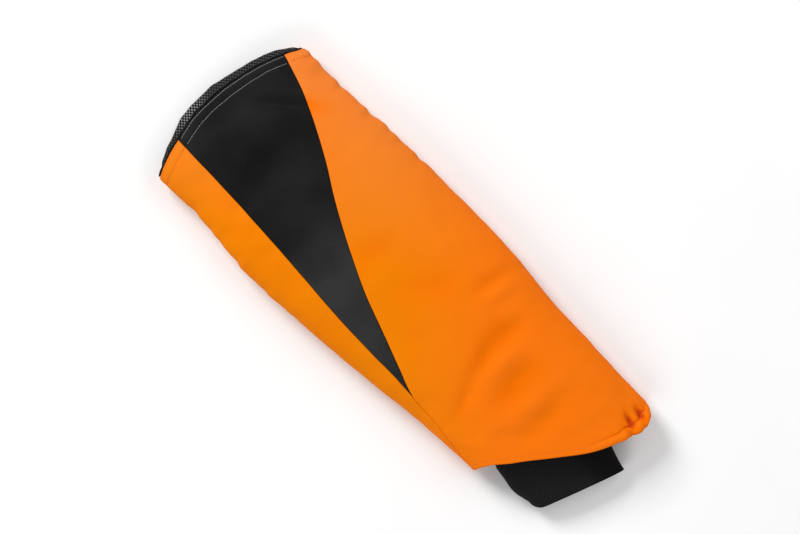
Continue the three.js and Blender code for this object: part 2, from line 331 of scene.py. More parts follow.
# Grids of cloth, row by row along the sleeve and column by column round it
grids = {
    "edgeShares": (0, 0.02, 0.05, 0.09, 0.14, 0.2, 0.28, 0.4, 0.6, 1),
    "seamBand": 6.0,  # of close columns by a seam, and its most share of a panel's width
    "mostBand": 0.4,
    "elbowRows": (0, 0.1, 0.3, 0.6, 0.9, 1.2, 1.6, 2.0, 2.4, 3.0, 3.8, 4.7, 5.6, 6.5, 7.3, 7.9, 8.4, 8.9,
                  9.4, 9.9, 10.6, 11.6, 12.8, 14.4, 16.2, 18.0),
    "wristRows": (0, 0.1, 0.3, 0.6, 0.95, 1.35, 1.9, 2.6, 3.4, 4.2, 4.9, 5.5, 5.9, 6.3, 6.7, 7.1, 7.5,
                  7.9, 8.3, 8.7, 9.1, 9.5, 9.9, 10.5, 11.5, 13.0),
    "trim": 0.15,  # between a panel and its seam line
    "leastWidth": 0.15,
    "passes": 10,  # that fit x and the share of the girth to each other
    "far": 999.0,  # stands for the distance to an edge that isn't there
}


def spreadAcross(width, column, count, crowding):
    # distance from a panel's first edge: columns lie close by both edges, and may crowd towards the first
    shares = grids["edgeShares"]
    band = np.minimum(grids["seamBand"], grids["mostBand"] * width)
    if column < len(shares):
        return band * shares[column]
    if column >= len(shares) + count - 1:
        return width - band * shares[len(shares) * 2 + count - 2 - column]
    return band + (width - 2 * band) * ((column - len(shares) + 1) / count) ** crowding


def clothGrid(fromLine, toLine, columnCount, rowCount, endX=None, crowding=1):
    # crossings of a panel's rows and columns: x, share of the girth, and distances to the edges
    toWrist = endX is None
    nearElbow = np.array(grids["elbowRows"])
    nearWrist = np.array(grids["wristRows"] if toWrist else ())[::-1]
    shares = np.linspace(0, 1, rowCount + 1)[1:]
    if toWrist:
        shares = shares[:-1]
    first, middle = len(nearElbow), len(nearElbow) + len(shares)
    columnTotal = 2 * len(grids["edgeShares"]) + columnCount - 1
    x = np.zeros((middle + len(nearWrist), columnTotal))
    for attempt in range(grids["passes"]):
        girth = girthAt(x)
        trim = grids["trim"] / girth
        start = lineAt(fromLine, x) + trim
        width = np.maximum((lineAt(toLine, x) - trim - start) * girth, grids["leastWidth"])
        columns = [spreadAcross(width[:, k], k, columnCount, crowding) for k in range(columnTotal)]
        spread = np.stack(columns, -1)
        g = np.clip(start + spread / girth, 0, 1)
        elbow = rimAt("elbow", g)
        wrist = rimAt("wrist", g) if toWrist else np.full_like(g, endX)
        low = elbow[first:middle] + nearElbow[-1]
        high = wrist[first:middle] - (nearWrist[0] if toWrist else 0)
        x[:first] = elbow[:first] + nearElbow[:, None]
        x[first:middle] = low + (high - low) * shares[:, None]
        x[middle:] = wrist[middle:] - nearWrist[:, None]
    return {
        "x": x,
        "g": g,
        "fromFirst": spread,
        "fromLast": width - spread,
        "fromElbow": x - elbow,
        "fromWrist": wrist - x if toWrist else np.full_like(x, grids["far"]),
    }


hems = {
    "elbowRows": (1.6, 8.9),  # stitch rows, from the rim
    "elbowPuff": (0.3, 0.6),  # swelling between them: height, power of its curve
    "elbowLumps": (0.2, 3),  # share of the swelling, seed
    "elbowPuckers": (1.3, 4.5, (5, 6)),  # by the rows: stretch, reach, seeds
    "wristRow": 6.3,
    "wristRowMore": 2.6,  # on the right
    "fullAcross": (5, 55),  # the wrist's hem fills over these y, and ends within this of the right fold
    "fullByFold": (2, 20),
    # of the wrist's hem, on the left and on the right
    "wristPuff": (0.15, 1.8),
    "wristLumps": (0.1, 0.3),
    "wristGroove": (0.03, 0.98),
    "wristPucker": (0.5, 1.5),
    "wristPower": 0.7,
    "wristReach": 6,
    "wristSeeds": (9, 11),
    "grooveDepth": 0.25,
    "grooveWidth": 0.7,
    "pucker": 0.16,
    "seamPuckers": (0.1, 5, (21, 22)),  # height, reach, seeds
    "rimRoll": 1.35,
    "seamRoll": 0.8,
    "thickness": 2.7,
    "leastWall": 0.02,
}


def wristHem(x, g):
    # how full the hem is, more so to the right but not at the fold, and its row's distance from the rim
    full = smoothStep(onSleeve(x, g, 0 * x)[..., 1], *hems["fullAcross"])
    full = full * smoothStep(np.minimum(g, 1 - g) * girthAt(x), *hems["fullByFold"])
    return full, hems["wristRow"] + hems["wristRowMore"] * full


def hemDepth(grid):
    # how far the outer face lies under the plain form, by its seams, hems, stitch rows and puckers
    x, g, fromElbow, fromWrist = grid["x"], grid["g"], grid["fromElbow"], grid["fromWrist"]
    along = g * girthAt(x)
    depth = roll(fromElbow, hems["rimRoll"]) + roll(fromWrist, hems["rimRoll"])
    height, reach, seeds = hems["seamPuckers"]
    for edge, seed in zip(("fromFirst", "fromLast"), seeds):
        depth += roll(grid[edge], hems["seamRoll"])
        depth += height * ripple(x, seed) * np.exp(-grid[edge] / reach)
    height, power = hems["elbowPuff"]
    lumps, seed = hems["elbowLumps"]
    inHem = ramp(fromElbow, *hems["elbowRows"])
    depth -= height * np.sin(math.pi * inHem) ** power * (1 + lumps * ripple(along, seed))
    stretch, reach, seeds = hems["elbowPuckers"]
    for row, seed in zip(hems["elbowRows"], seeds):
        depth += hems["grooveDepth"] * groove(fromElbow - row, hems["grooveWidth"])
        depth += hems["pucker"] * ripple(along * stretch, seed) * np.exp(-abs(fromElbow - row) / reach)
    full, row = wristHem(x, g)
    names = ("wristPuff", "wristLumps", "wristGroove", "wristPucker")
    puff, lumps, deep, pucker = (between(hems[name], full) for name in names)
    lumpSeed, puckerSeed = hems["wristSeeds"]
    swelling = np.sin(math.pi * np.clip(fromWrist / row, 0, 1)) ** hems["wristPower"]
    depth -= puff * swelling * (1 + lumps * ripple(along, lumpSeed))
    depth += deep * groove(fromWrist - row, hems["grooveWidth"])
    nearRow = np.exp(-abs(fromWrist - row) / hems["wristReach"])
    depth += hems["pucker"] * pucker * ripple(along, puckerSeed) * nearRow
    return depth


def newPiece(name, points, faces):
    mesh = bpy.data.meshes.new(name)
    mesh.from_pydata((points * mm).tolist(), [], faces)
    mesh.update()
    piece = bpy.data.objects.new(name, mesh)
    bpy.context.scene.collection.objects.link(piece)
    return piece


def gridIndex(rows, columns, ring):
    index = np.arange(rows * columns).reshape(rows, columns)
    return np.concatenate([index, index[:, :1]], axis=1) if ring else index


def quads(a, b, c, d):
    return np.stack([a, b, c, d], -1).reshape(-1, 4)


def gridQuads(index):
    return quads(index[:-1, :-1], index[:-1, 1:], index[1:, 1:], index[1:, :-1])


def clothMesh(name, outer, inner, around, ring=False):
    # a closed mesh between two grids of points in millimetres, with a UV map in metres along the cloth
    rows, columns = outer.shape[:2]
    index = gridIndex(rows, columns, ring)
    below = index + rows * columns
    faces = [
        gridQuads(index),
        gridQuads(below)[:, (0, 3, 2, 1)],  # facing inward
        quads(index[0, 1:], index[0, :-1], below[0, :-1], below[0, 1:]),
        quads(index[-1, :-1], index[-1, 1:], below[-1, 1:], below[-1, :-1]),
    ]
    if not ring:
        faces.append(quads(index[:-1, 0], index[1:, 0], below[1:, 0], below[:-1, 0]))
        faces.append(quads(index[1:, -1], index[:-1, -1], below[:-1, -1], below[1:, -1]))
    faces = np.concatenate(faces)
    piece = newPiece(name, np.concatenate([outer.reshape(-1, 3), inner.reshape(-1, 3)]), faces.tolist())
    flat = np.concatenate([around.reshape(-1, 2)] * 2)[faces.reshape(-1)].reshape(-1, 4, 2)
    if ring:  # the last column's faces join the first column
        girth = flat[..., 0]
        span = around[..., 0].max()
        wraps = girth.max(axis=1) - girth.min(axis=1) > span / 2
        girth += np.where(wraps[:, None] & (girth < span / 2), span * columns / (columns - 1), 0)
    uvMap = piece.data.uv_layers.new(name="cloth")
    uvMap.data.foreach_set("uv", (flat * mm).astype(np.float32).ravel())
    piece.data.polygons.foreach_set("use_smooth", np.ones(len(piece.data.polygons), bool))
    piece.data.update()
    return piece


def turnOutward(piece):
    # faces all outward, and shaded smooth
    bpy.context.view_layer.objects.active = piece
    piece.select_set(True)
    bpy.ops.object.mode_set(mode="EDIT")
    bpy.ops.mesh.select_all(action="SELECT")
    bpy.ops.mesh.normals_make_consistent(inside=False)
    bpy.ops.object.mode_set(mode="OBJECT")
    bpy.ops.object.shade_smooth()
    bpy.ops.object.select_all(action="DESELECT")


def addPiece(piece, node, material):
    piece.data.materials.append(material)
    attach(piece, "root")
    if node:
        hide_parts(node)
    print(piece.name, len(piece.data.polygons), "faces")


def mathNode(tree, operation, first, second=None, third=None):
    node = tree.nodes.new("ShaderNodeMath")
    node.operation = operation
    for k, value in enumerate((first, second, third)):
        if isinstance(value, (int, float)):
            node.inputs[k].default_value = value
        elif value is not None:
            tree.links.new(value, node.inputs[k])
    return node.outputs[0]


def scaleNode(tree, value, factor, start):
    return mathNode(tree, "MULTIPLY_ADD", value, factor, start)


def waveNode(tree, kind, value, pitch):
    return mathNode(tree, kind, mathNode(tree, "MULTIPLY", value, 2 * math.pi / pitch))


def splitNode(tree, vector):
    node = tree.nodes.new("ShaderNodeSeparateXYZ")
    tree.links.new(vector, node.inputs[0])
    return node.outputs


def clampNode(tree, value, most=1.0):
    node = tree.nodes.new("ShaderNodeClamp")
    node.inputs["Max"].default_value = most
    tree.links.new(value, node.inputs["Value"])
    return node.outputs[0]


def noiseNode(tree, vector, scale, detail):
    node = tree.nodes.new("ShaderNodeTexNoise")
    node.inputs["Scale"].default_value = scale
    node.inputs["Detail"].default_value = detail
    tree.links.new(vector, node.inputs["Vector"])
    return node.outputs["Fac"]


def rampNode(tree, value, stops):
    node = tree.nodes.new("ShaderNodeValToRGB")
    elements = node.color_ramp.elements
    while len(elements) < len(stops):
        elements.new(0.5)
    for element, (position, colour) in zip(elements, stops):
        element.position = position
        element.color = (*colour, 1)
    tree.links.new(value, node.inputs["Fac"])
    return node.outputs["Color"]


def mixNode(tree, share, first, second):
    # a colour between two, each given as numbers or by another node
    node = tree.nodes.new("ShaderNodeMix")
    node.data_type = "RGBA"
    tree.links.new(share, node.inputs["Factor"])
    for name, colour in (("A", first), ("B", second)):
        if isinstance(colour, tuple):
            node.inputs[name].default_value = (*colour, 1)
        else:
            tree.links.new(colour, node.inputs[name])
    return node.outputs["Result"]


def newMaterial(name, specular):
    material = bpy.data.materials.new(name)
    material.use_nodes = True
    tree = material.node_tree
    shader = tree.nodes["Principled BSDF"]
    shader.inputs["Specular IOR Level"].default_value = specular
    place = tree.nodes.new("ShaderNodeTexCoord")
    return material, tree, shader, place.outputs["Object"]


def newCloth(name, specular, sheen=0.0, sheenRoughness=0.4):
    material, tree, shader, place = newMaterial(name, specular)
    shader.inputs["Sheen Weight"].default_value = sheen
    shader.inputs["Sheen Roughness"].default_value = sheenRoughness
    uv = tree.nodes.new("ShaderNodeUVMap")
    uv.uv_map = "cloth"
    return material, tree, shader, uv.outputs["UV"], place


def dress(tree, shader, colour, roughness, height, strength, distance):
    # colour, roughness as a number or by another node, and bumps
    tree.links.new(colour, shader.inputs["Base Color"])
    if isinstance(roughness, float):
        shader.inputs["Roughness"].default_value = roughness
    else:
        tree.links.new(roughness, shader.inputs["Roughness"])
    bump = tree.nodes.new("ShaderNodeBump")
    bump.inputs["Strength"].default_value = strength
    bump.inputs["Distance"].default_value = distance
    tree.links.new(height, bump.inputs["Height"])
    tree.links.new(bump.outputs["Normal"], shader.inputs["Normal"])


# Woven cloth: tones by the ramp's places, and the shares of grain and weave in the tone
orangeCloth = {
    "tones": [(0.3, (0.75, 0.178, 0.001)), (0.62, (0.78, 0.205, 0.001))],
    "tints": [  # painted light and shade, each: colour, most of it, and growth: along X, along Y, with a fold's depth, and the start
        ((0.79, 0.197, 0.031), 1.0, (-3.25, 5.5, 0, -0.09)),  # paler by the elbow's right corner: painted sheen
        ((0.86, 0.165, 0.005), 0.9, (7.0, 7.0, 0, 0.15)),  # redder by the wrist's right corner: painted shade
        ((0.80, 0.148, 0.0005), 0.85, (0, 0, 0.45, 0)),  # painted shade: deeper in the folds
        ((0.58, 0.064, 0.008), 0.9, (0, 0, 0.4, -1.1)),  # painted shade: reddest in the deep puckers
    ],
    "specular": 0.015,
    "blotchScale": 14.0,
    "grainShare": 0.35,
    "weaveShare": 0.06,
    "roughness": 0.6,
    "bump": 0.22,
}
blackCloth = {
    "tones": [(0.3, (0.003, 0.003, 0.0031)), (0.62, (0.011, 0.011, 0.0112)), (1.0, (0.029, 0.029, 0.0292))],
    # painted light and shade: lighter and darker stretches along X
    "paintedLight": [(-0.25, 0.22), (-0.21, 0.15), (-0.165, 0), (-0.1, 0.12), (-0.042, 0.6), (0.01, 0.5),
             (0.045, 0.3)],
    "paintedLightPlaces": (3.0, 0.8),  # from X to the ramp's places: scale, start
    "toneShift": -0.12,
    "specular": 0.07,
    "blotchScale": 20.0,
    "grainShare": 0.4,
    "weaveShare": 0.08,
    "roughness": 0.62,
    "bump": 0.3,
}
weaving = {
    "pitch": 0.0008,  # from thread to thread
    "grainScale": 700.0,
    "detail": 3.0,
    "grainRoughness": 0.2,
    "grainHeight": 0.8,
    "bumpDistance": 0.0001,
}


def wovenCloth(name, look, colourOf):
    # cloth with threads, grain and blotches, whose tone and place give the colour
    material, tree, shader, uv, place = newCloth(name, look["specular"])
    flat = splitNode(tree, uv)
    waves = [waveNode(tree, "SINE", flat[k], weaving["pitch"]) for k in (0, 1)]
    weave = mathNode(tree, "MULTIPLY", *waves)
    grain = noiseNode(tree, uv, weaving["grainScale"], weaving["detail"])
    blotch = noiseNode(tree, place, look["blotchScale"], weaving["detail"])
    tone = mathNode(tree, "MULTIPLY", grain, look["grainShare"])
    tone = scaleNode(tree, blotch, 1 - look["grainShare"], tone)
    tone = scaleNode(tree, weave, look["weaveShare"], tone)
    colour = colourOf(tree, tone, splitNode(tree, place))
    uneven = weaving["grainRoughness"]
    roughness = scaleNode(tree, grain, uneven, look["roughness"] - uneven / 2)
    height = scaleNode(tree, grain, weaving["grainHeight"], weave)
    dress(tree, shader, colour, roughness, height, look["bump"], weaving["bumpDistance"])
    return material


def orangeColour(tree, tone, axes):
    # the tints paint sheen by the elbow's corner, and shade by the wrist's corner, in the folds and in the
    # puckers
    foldShade = tree.nodes.new("ShaderNodeAttribute")
    foldShade.attribute_name = "foldShade"
    colour = rampNode(tree, tone, orangeCloth["tones"])
    for shade, most, (alongX, alongY, withFoldShade, start) in orangeCloth["tints"]:
        share = scaleNode(tree, axes[0], alongX, start)
        share = scaleNode(tree, axes[1], alongY, share)
        share = scaleNode(tree, foldShade.outputs["Fac"], withFoldShade, share)
        colour = mixNode(tree, clampNode(tree, share, most), colour, shade)
    return colour


def blackColour(tree, tone, axes):
    # painted light and shade along X, added to the cloth's tone
    scale, start = blackCloth["paintedLightPlaces"]
    along = scaleNode(tree, axes[0], scale, start)
    paintedLight = rampNode(tree, along, [(x * scale + start, (share,) * 3) for x, share in blackCloth["paintedLight"]])
    tone = mathNode(tree, "ADD", tone, blackCloth["toneShift"])
    return rampNode(tree, mathNode(tree, "ADD", paintedLight, tone), blackCloth["tones"])


makeSleeve()
orange = wovenCloth("orangeCloth", orangeCloth, orangeColour)
black = wovenCloth("blackCloth", blackCloth, blackColour)

cloth = {
    "rows": 84,
    "columns": 76,
    "frames": 20,
    "quality": 6,
    "mass": 0.25,
    "bending": 0.4,
    "pressure": 1.0,
    "slack": 0.01,  # how much longer the cloth is than the form
    "rimHeld": (0.01, 0.05),  # shares of the length from a rim: all held, all free
    "underHeld": (0.5, 9),  # heights, likewise
    "broad": 60,  # passes of smoothing that leave only the swelling
    "keep": 0.5,  # share of the creases that is kept
    "mostMove": 1.1,
    "rumple": 0.16,  # height of the plain unevenness
    "rumplePasses": 2,
    "rumpleSeed": 11,
    "finer": 4,  # table rows and columns for each of the cloth's
    "finerPasses": 12,
}


def blurred(table, passes):
    # a table smoothed along the sleeve and round it
    for attempt in range(passes):
        table = (np.roll(table, 1, 1) + 2 * table + np.roll(table, -1, 1)) / 4
        ends = np.pad(table, ((1, 1), (0, 0)), mode="edge")
        table = (ends[:-2] + 2 * table + ends[2:]) / 4
    return table


def settleCloth():
    # a coarse tube of slack cloth, blown up with its underside and rims held, gives the top's small creases
    rows, columns = cloth["rows"], cloth["columns"]
    share, g = np.meshgrid(np.linspace(0, 1, rows), np.arange(columns) / columns, indexing="ij")
    x = rimAt("elbow", g) + share * (rimAt("wrist", g) - rimAt("elbow", g))
    start = onSleeve(x, g, 0 * x)
    tube = newPiece("slackTube", start.reshape(-1, 3), gridQuads(gridIndex(rows, columns, True)).tolist())
    bpy.context.view_layer.objects.active = tube
    tube.select_set(True)
    held = tube.vertex_groups.new(name="held")
    byRim = 1 - smoothStep(np.minimum(share, 1 - share), *cloth["rimHeld"])
    weight = np.maximum(byRim, 1 - smoothStep(start[..., 2], *cloth["underHeld"]))
    for k, amount in enumerate(weight.ravel()):
        held.add([k], float(amount), "REPLACE")
    bpy.ops.object.modifier_add(type="CLOTH")
    modifier = tube.modifiers[-1]
    settings = modifier.settings
    settings.quality = cloth["quality"]
    settings.mass = cloth["mass"]
    settings.bending_stiffness = cloth["bending"]
    settings.vertex_group_mass = "held"
    settings.shrink_min = -cloth["slack"]
    settings.use_pressure = True
    settings.uniform_pressure_force = cloth["pressure"]
    settings.effector_weights.gravity = 0
    modifier.point_cache.frame_end = cloth["frames"]
    for number in range(1, cloth["frames"] + 1):
        bpy.context.scene.frame_set(number)
    bpy.ops.object.modifier_apply(modifier=modifier.name)
    bpy.context.scene.frame_set(1)
    points = np.empty(len(tube.data.vertices) * 3)
    tube.data.vertices.foreach_get("co", points)
    moved = points.reshape(start.shape) / mm - start
    bpy.data.objects.remove(tube)
    normal = readTable(tables["normals"], *tablePlace(x, g))
    rise = (moved * normal).sum(axis=-1)
    crease = rise - blurred(rise, cloth["broad"])
    print("cloth settled, moved", rise.min().round(2), rise.max().round(2))
    print("creases", crease.min().round(2), crease.max().round(2))
    return cloth["mostMove"] * np.tanh(crease * cloth["keep"] / cloth["mostMove"]) * (1 - weight)


def fillSettled():
    rough = np.random.default_rng(cloth["rumpleSeed"]).normal(size=(cloth["rows"], cloth["columns"]))
    rough = blurred(rough, cloth["rumplePasses"])
    rise = cloth["rumple"] * rough / rough.std()
    rise = rise + settleCloth()
    rise = np.repeat(np.repeat(rise, cloth["finer"], 0), cloth["finer"], 1)
    rise = blurred(rise, cloth["finerPasses"])
    settled["rise"] = np.concatenate([rise, rise[:, :1]], axis=1)[..., None]


fillSettled()

# Painted shade: deeper colour in the folds and in a band by the wrist's row
paintedShade = {
    "wider": 1.3,  # than the folds
    "heights": (8, 20),  # none below the first, full above the second
    "byRow": (2.4, 1.2, 2.2),  # on the right: amount, away from the row, half width
}


def makePanel(name, fromLine, toLine, columnCount, rowCount, endX=None, crowding=1):
    grid = clothGrid(fromLine, toLine, columnCount, rowCount, endX, crowding)
    depth = hemDepth(grid)
    rim = roll(grid["fromElbow"], hems["rimRoll"]) + roll(grid["fromWrist"], hems["rimRoll"])
    outer = onSleeve(grid["x"], grid["g"], depth)
    inner = onSleeve(grid["x"], grid["g"], np.maximum(hems["thickness"] - rim, depth + hems["leastWall"]))
    around = np.stack([grid["g"] * girthAt(grid["x"]), grid["x"]], -1)
    panel = clothMesh(name, outer, inner, around)
    foldShade = np.maximum(-foldRise(outer[..., 0], outer[..., 1], paintedShade["wider"]), 0)
    foldShade *= smoothStep(outer[..., 2], *paintedShade["heights"])
    amount, away, width = paintedShade["byRow"]
    full, row = wristHem(grid["x"], grid["g"])
    foldShade += amount * full * groove(grid["fromWrist"] - row - away, width)
    depths = panel.data.attributes.new("foldShade", "FLOAT", "POINT")  # painted shade for the cloth's colour
    depths.data.foreach_set("value", np.concatenate([foldShade.ravel(), foldShade.ravel()]).astype(np.float32))
    return panel


wedgeEnd = sleeve["tip"][0] - sleeve["tipGap"]
frontPanel = makePanel("orangeFront", "closing", "fastSeam", columnCount=124, rowCount=190, crowding=1.25)
addPiece(frontPanel, "front_panel", orange)
wedgePanel = makePanel("blackWedge", "fastSeam", "slowSeam", columnCount=56, rowCount=130, endX=wedgeEnd)
addPiece(wedgePanel, "wedge_panel", black)
backPanel = makePanel("orangeBack", "slowSeam", "closed", columnCount=92, rowCount=190)
addPiece(backPanel, "back_panel", orange)

lining = {
    "depth": 3.0,
    "thickness": 0.9,
    "columns": 240,
    "rows": 150,
    "elbowRows": (-1.7, -0.8, 0.2, 1.2, 2.2, 3.4, 4.8, 6.4, 8.2, 10.2, 12.4, 15),  # from the rim
    "wristStop": 7,
    "holePitch": (0.0031, 0.0034),
    "holeEdge": [(0.16, (0, 0, 0)), (0.4, (1, 1, 1))],
    "net": (0.006, 0.006, 0.0063),
    "holes": [(0.15, (0.33, 0.33, 0.335)), (0.7, (0.08, 0.08, 0.083))],  # painted light and shade: palest by the middle left, darker away from it
    "palest": -0.024,  # y of the palest holes, where the painted light is brightest
    "paleScale": 30.0,  # from the distance along Y to the ramp's places
    "grain": (500.0, 2.0),  # scale, detail
    "grainShare": 0.3,
    "specular": 0.3,
    "sheen": 0.05,
    "roughness": 0.7,
    "bump": (0.7, 0.0004),
}


def meshMaterial():
    # dark net with pale holes in staggered rows, the holes with painted light and shade across Y
    material, tree, shader, uv, place = newCloth("meshLining", lining["specular"], lining["sheen"])
    flat = splitNode(tree, uv)
    waves = [waveNode(tree, "COSINE", flat[k], lining["holePitch"][k]) for k in (0, 1)]
    field = mathNode(tree, "MULTIPLY", *waves)
    grain = noiseNode(tree, uv, *lining["grain"])
    uneven = scaleNode(tree, grain, lining["grainShare"], -lining["grainShare"] / 2)
    hole = mathNode(tree, "ADD", field, uneven)
    # painted light and shade: the holes palest near one y, darker away from it
    aside = mathNode(tree, "ABSOLUTE", mathNode(tree, "ADD", splitNode(tree, place)[1], -lining["palest"]))
    pale = rampNode(tree, mathNode(tree, "MULTIPLY", aside, lining["paleScale"]), lining["holes"])
    colour = mixNode(tree, rampNode(tree, hole, lining["holeEdge"]), lining["net"], pale)
    height = mathNode(tree, "MULTIPLY", hole, -1.0)
    dress(tree, shader, colour, lining["roughness"], height, *lining["bump"])
    return material


def makeLining():
    g = np.linspace(0, 1, lining["columns"], endpoint=False)
    elbow = rimAt("elbow", g)
    first = elbow + lining["elbowRows"][-1]
    last = rimAt("wrist", g) - lining["wristStop"]
    x = [elbow + away for away in lining["elbowRows"]]
    x += [first + (last - first) * t for t in np.linspace(0, 1, lining["rows"])[1:]]
    x = np.stack(x)
    g = np.broadcast_to(g, x.shape)
    around = np.stack([g * girthAt(x), x], -1)
    outer = onSleeve(x, g, np.full_like(x, lining["depth"]))
    inner = onSleeve(x, g, np.full_like(x, lining["depth"] + lining["thickness"]))
    return clothMesh("meshLining", outer, inner, around, ring=True)


liningTube = makeLining()
addPiece(liningTube, "lining", meshMaterial())

binding = {
    "segments": (240, 12),
    "thin": 0.2,  # of the plain ring, whose radius is 1
    "radius": 0.8,
    "out": 1.4,  # its middle, past the rim
    "sink": 0.5,  # under the rolled rim
    "wave": 0.3,  # along the rim
    "stretch": 0.45,
    "seed": 31,
}


def makeBinding():
    # a thin rolled edge round the elbow mouth, bent from a plain ring
    around, about = binding["segments"]
    bpy.ops.mesh.primitive_torus_add(
        major_segments=around, minor_segments=about, major_radius=1, minor_radius=binding["thin"]
    )
    piece = bpy.context.object
    piece.name = "rimBinding"
    points = np.empty(len(piece.data.vertices) * 3)
    piece.data.vertices.foreach_get("co", points)
    points = points.reshape(-1, 3)
    turn = np.arctan2(points[:, 1], points[:, 0]) / (2 * math.pi) % 1
    larger = binding["radius"] / binding["thin"]
    out = (np.hypot(points[:, 0], points[:, 1]) - 1) * larger
    x = rimAt("elbow", turn) - binding["out"] - points[:, 2] * larger
    x += binding["wave"] * ripple(turn * girthAt(x) * binding["stretch"], binding["seed"])
    placed = onSleeve(x, turn, hems["rimRoll"] + binding["sink"] - out) * mm
    piece.data.vertices.foreach_set("co", placed.ravel())
    piece.data.uv_layers.active.name = "cloth"
    piece.data.update()
    turnOutward(piece)
    return piece


addPiece(makeBinding(), None, black)

cuff = {
    "wall": 2.0,
    "seatDepth": 5.4,  # of its flared start, under the sleeve's outer face
    "start": (104, 0),
    "end": (226, -16.7),
    "width": 79,
    "wider": 0.1,  # before it draws in towards the end
    "drawIn": 0.75,
    "height": 21,
    "fold": 10,
    "reach": 11,
    "base": 5.2,
    "droop": 4.9,  # past the wrist's rim, over these distances
    "droopRange": (2, 30),
    "endSkew": 0.23,
    "flareShare": 0.86,
    "cornerRound": 8,
    "cornerPower": 12,
    "fullLeft": 0.06,  # how much fuller the left side is towards the end
    "fullRange": (0.55, 0.9),
    # dents of the left side: place, half length, depth
    "dents": [(0.5, 0.05, -1.6), (0.61, 0.03, 2.8), (0.8, 0.09, -1.8)],
    "dentRange": (20, 40),
    "columns": 200,
    "rows": 110,
    "endRows": (0, 0.08, 0.25, 0.5, 0.8, 1.1, 1.6, 2.3, 3.2, 4.4),
    "girth": 190,  # of the knit's map
    "step": 0.002,  # of the girth, for the outline's direction
}
knit = {
    "tones": [(0.3, (0.0025, 0.0025, 0.0026)), (0.75, (0.0130, 0.0130, 0.0134))],
    "ribPitch": 0.0021,
    "ribTone": 0.035,
    "loopPitch": 0.0016,
    "loopLean": 2.5,
    "loopTone": 0.025,
    "loopHeight": 0.35,
    "grain": (900.0, 2.0),  # scale, detail
    "darker": (45.0, 0.3),  # painted shade towards the right side: scale along Y, start
    "darkest": -0.45,
    "specular": 0.1,
    "sheen": 0.05,
    "roughness": 0.8,
    "bump": (0.1, 0.00012),
}


def knitMaterial():
    material, tree, shader, uv, place = newCloth("blackKnit", knit["specular"], knit["sheen"])
    flat = splitNode(tree, uv)
    ribs = waveNode(tree, "SINE", flat[0], knit["ribPitch"])
    side = mathNode(tree, "ABSOLUTE", waveNode(tree, "SINE", flat[0], 2 * knit["ribPitch"]))
    lean = mathNode(tree, "MULTIPLY", side, knit["loopLean"])
    loops = scaleNode(tree, flat[1], 2 * math.pi / knit["loopPitch"], lean)
    loops = mathNode(tree, "SINE", loops)
    tone = scaleNode(tree, loops, knit["loopTone"], noiseNode(tree, uv, *knit["grain"]))
    tone = scaleNode(tree, ribs, knit["ribTone"], tone)
    # painted shade, darker towards the right side
    shadeToRight = scaleNode(tree, splitNode(tree, place)[1], *knit["darker"])
    tone = scaleNode(tree, clampNode(tree, shadeToRight), knit["darkest"], tone)
    height = scaleNode(tree, loops, knit["loopHeight"], ribs)
    dress(tree, shader, rampNode(tree, tone, knit["tones"]), knit["roughness"], height, *knit["bump"])
    return material


def makeCuff():
    half = cuff["width"] / 2
    sizes = [np.array([float(size)]) for size in (-half, half, cuff["height"], cuff["fold"], cuff["reach"])]
    path, shares = (part[:, 0] for part in outlines(*sizes)[:2])

    def outlineAt(h):
        return np.stack([np.interp(h % 1, shares, path[:, k]) for k in (0, 1)], -1)

    g = np.linspace(0, 1, cuff["columns"], endpoint=False)
    flat = outlineAt(g)
    tangent = outlineAt(g + cuff["step"]) - outlineAt(g - cuff["step"])
    tangent /= np.linalg.norm(tangent, axis=-1, keepdims=True)
    outward = np.stack([tangent[:, 1], -tangent[:, 0]], -1)
    axis = np.array(cuff["end"], float) - cuff["start"]
    length = np.linalg.norm(axis)
    axis /= length
    across = np.array([-axis[1], axis[0]])
    close = np.array(cuff["endRows"]) / length
    t = np.concatenate([np.linspace(0, 1 - close[-1], cuff["rows"]), 1 - close[-2::-1]])[:, None]
    section = sleeve["wristSection"]
    flatLines = [float(lineAt(name, section)) for name in ("flatStart", "flatEnd")]
    flatSides = (sectionAt(1, section) + sleeve["underReach"], sectionAt(2, section) - sleeve["underReach"])
    roundFrom = half * (1 + cuff["fullLeft"]) - cuff["cornerRound"]

    def layer(depth):
        inset = flat[None] - outward[None] * depth[..., None]
        sideways = inset[..., 0] * (1 + cuff["wider"] * (1 - smoothStep(t, cuff["drawIn"], 1)))
        sideways = sideways * (1 + cuff["fullLeft"] * (sideways < 0) * smoothStep(t, *cuff["fullRange"]))
        byLeft = smoothStep(-sideways, *cuff["dentRange"])
        for place, halfLength, deep in cuff["dents"]:
            sideways = sideways + deep * groove(t - place, halfLength) * byLeft
        corner = np.clip((-sideways - roundFrom) / cuff["cornerRound"], 0, 1)
        rounded = cuff["cornerRound"] * (1 - np.sqrt(1 - corner**2))
        slide = t * length + t * cuff["endSkew"] * sideways - t ** cuff["cornerPower"] * rounded
        narrow = [cuff["start"][k] + axis[k] * slide + across[k] * sideways for k in (0, 1)]
        narrow = np.stack(narrow + [inset[..., 1] + cuff["base"]], -1)
        seatX = cuff["start"][0] + t * length * (1 - cuff["flareShare"]) + 0 * sideways
        seat = onSleeve(seatX, np.broadcast_to(g, seatX.shape), cuff["seatDepth"] + depth)
        point = seat + (narrow - seat) * smoothStep(t, 0, cuff["flareShare"])[..., None]
        rim = rimAt("wrist", between(flatLines, ramp(point[..., 1], *flatSides)))
        point[..., 2] -= cuff["droop"] * smoothStep(point[..., 0] - rim, *cuff["droopRange"])
        return point

    fromEnd = (1 - t) * length + 0 * g[None]
    end = roll(fromEnd, cuff["wall"] / 2)
    outer = layer(end)
    inner = layer(np.maximum(cuff["wall"] - end, end + hems["leastWall"]))
    around = np.stack([g[None] * cuff["girth"] + 0 * t, t * length + 0 * g[None]], -1)
    return clothMesh("knitCuff", outer, inner, around, ring=True)


cuffTube = makeCuff()
addPiece(cuffTube, "cuff", knitMaterial())

